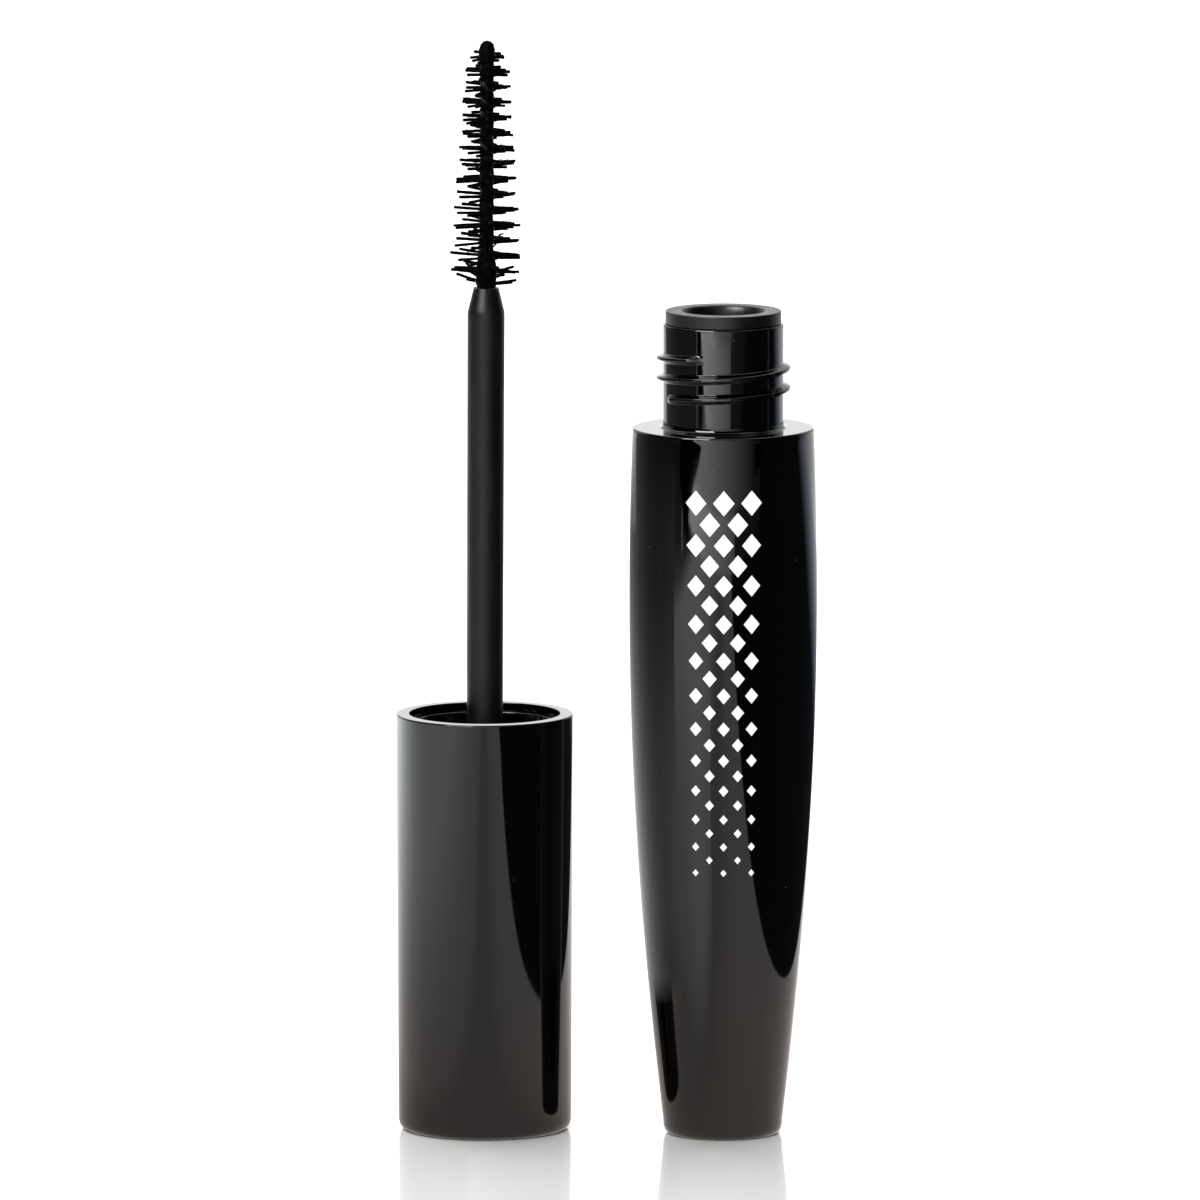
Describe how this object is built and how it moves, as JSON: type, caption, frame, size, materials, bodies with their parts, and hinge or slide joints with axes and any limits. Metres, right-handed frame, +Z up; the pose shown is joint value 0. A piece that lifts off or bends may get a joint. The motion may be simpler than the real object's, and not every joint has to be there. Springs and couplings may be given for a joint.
{
  "type": "mascara tube",
  "caption": "Open mascara vial with threaded neck and wiper, and beside it its unscrewed cap standing upside down with rod and twisted-wire brush pointing up.",
  "frame": {"origin": "centre of the vial's flat base, on the surface it stands on", "axes": "+Z up along the vial's axis, the wand stands towards -X, the side with the print faces -Y"},
  "size_m": [0.0448, 0.0222, 0.117],
  "materials": {
    "gloss_shell": "high gloss black moulded plastic",
    "inner_plastic": "polished black moulded plastic",
    "wiper_plastic": "soft matte dark grey polyethylene",
    "rod_plastic": "satin black moulded plastic",
    "wire": "twisted steel wire darkened with paste",
    "bristle": "nylon bristles coated with black paste",
    "paste": "wet black mascara paste",
    "seal": "pale foamed polyethylene",
    "print": "thin matte white ink printed on the vial"
  },
  "bodies": {
    "bottle": {"vial": "gloss_shell", "wiper": "wiper_plastic", "mascara_fill": "paste"},
    "seal": {"seal_washer": "seal"},
    "wand": {"cap_shell": "gloss_shell", "inner_cap": "inner_plastic", "rod": "rod_plastic", "brush_wire": "wire", "bristle_row_01": "bristle", "bristle_row_02": "bristle", "bristle_row_03": "bristle", "bristle_row_04": "bristle", "bristle_row_05": "bristle", "bristle_row_06": "bristle", "bristle_row_07": "bristle", "bristle_row_08": "bristle", "bristle_row_09": "bristle", "bristle_row_10": "bristle", "bristle_row_11": "bristle", "bristle_row_12": "bristle", "bristle_row_13": "bristle", "bristle_row_14": "bristle", "bristle_row_15": "bristle"}
  },
  "joints": [
    {"name": "wand_draw", "type": "slide", "parent": "bottle", "child": "seal", "axis": [0, 0, 1], "range_m": [0, 0.0845]},
    {"name": "cap_turn", "type": "hinge", "parent": "seal", "child": "wand", "pos_m": [-0.0254, 0.00275, 0.0447], "axis": [0, 0, 1], "range_deg": [0, 765]}
  ]
}
